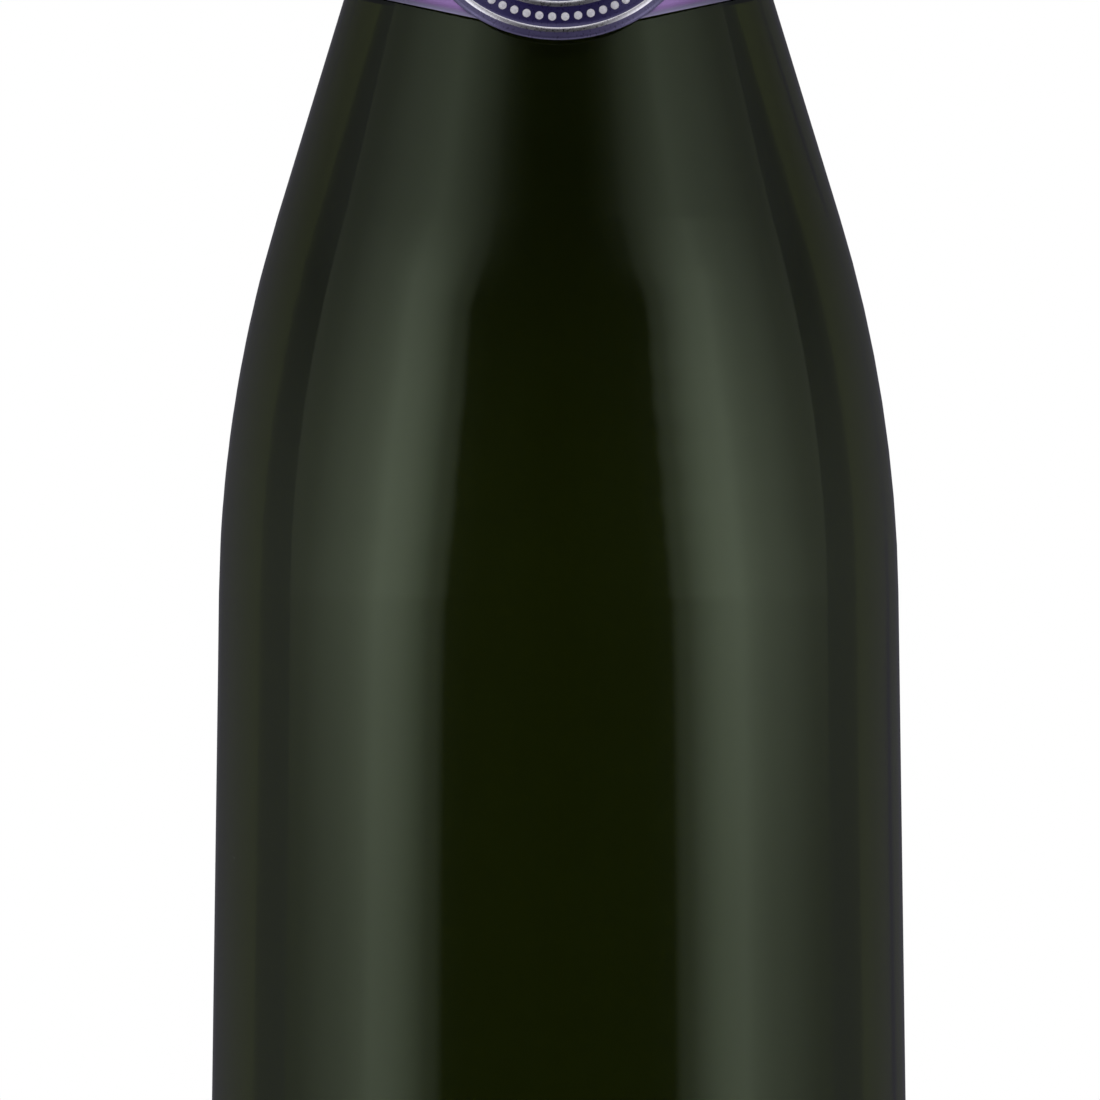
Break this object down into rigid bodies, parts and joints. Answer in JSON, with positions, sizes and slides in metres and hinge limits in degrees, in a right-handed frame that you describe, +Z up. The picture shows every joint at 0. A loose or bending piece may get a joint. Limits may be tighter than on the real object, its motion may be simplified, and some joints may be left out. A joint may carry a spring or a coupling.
{
  "type": "champagne bottle",
  "caption": "Dark green champagne bottle, corked, wired and dressed in purple foil, with a neck collar and an oval medallion.",
  "frame": {"origin": "middle of the plane that the bottle stands on", "axes": "+Z up along the bottle's axis, -Y towards the front, where the medallion and its collar's points are, +X to the right seen from the front"},
  "size_m": [0.0891, 0.089, 0.323],
  "materials": {
    "green_glass": "gloss",
    "wine": "gloss",
    "foil": "gloss",
    "collar": "gloss",
    "medallion": "gloss",
    "cork_granules": "matte",
    "cork_disc": "matte",
    "plaque": "gloss",
    "wire": "satin"
  },
  "bodies": {
    "bottle": {"glass_bottle": "green_glass", "wine": "wine", "foil_skirt": "foil", "collar_label": "collar", "collar_medallion": "medallion"},
    "cork": {"cork_body": "cork_granules", "cork_disc_upper": "cork_disc", "cork_disc_lower": "cork_disc"},
    "cage": {"muselet_plaque": "plaque", "cage_wire": "wire", "belt_wire": "wire"},
    "hood": {"foil_hood": "foil", "foil_top": "foil", "tear_tape": "foil"},
    "tab": {"tear_tab": "foil"}
  },
  "joints": [
    {"name": "cork_pull", "type": "slide", "parent": "bottle", "child": "cork", "axis": [0, 0, 1], "range_m": [0, 0.06], "deforming": ["cage_wire", "belt_wire"]},
    {"name": "cage_lift", "type": "slide", "parent": "cork", "child": "cage", "axis": [0, 0, 1], "range_m": [0, 0.06], "deforming": ["cage_wire", "belt_wire"]},
    {"name": "hood_lift", "type": "slide", "parent": "cage", "child": "hood", "axis": [0, 0, 1], "range_m": [0, 0.07]},
    {"name": "tab_swing", "type": "hinge", "parent": "hood", "child": "tab", "pos_m": [0.01911, 0, 0.282], "axis": [0, 0, -1], "range_deg": [0, 120]}
  ]
}
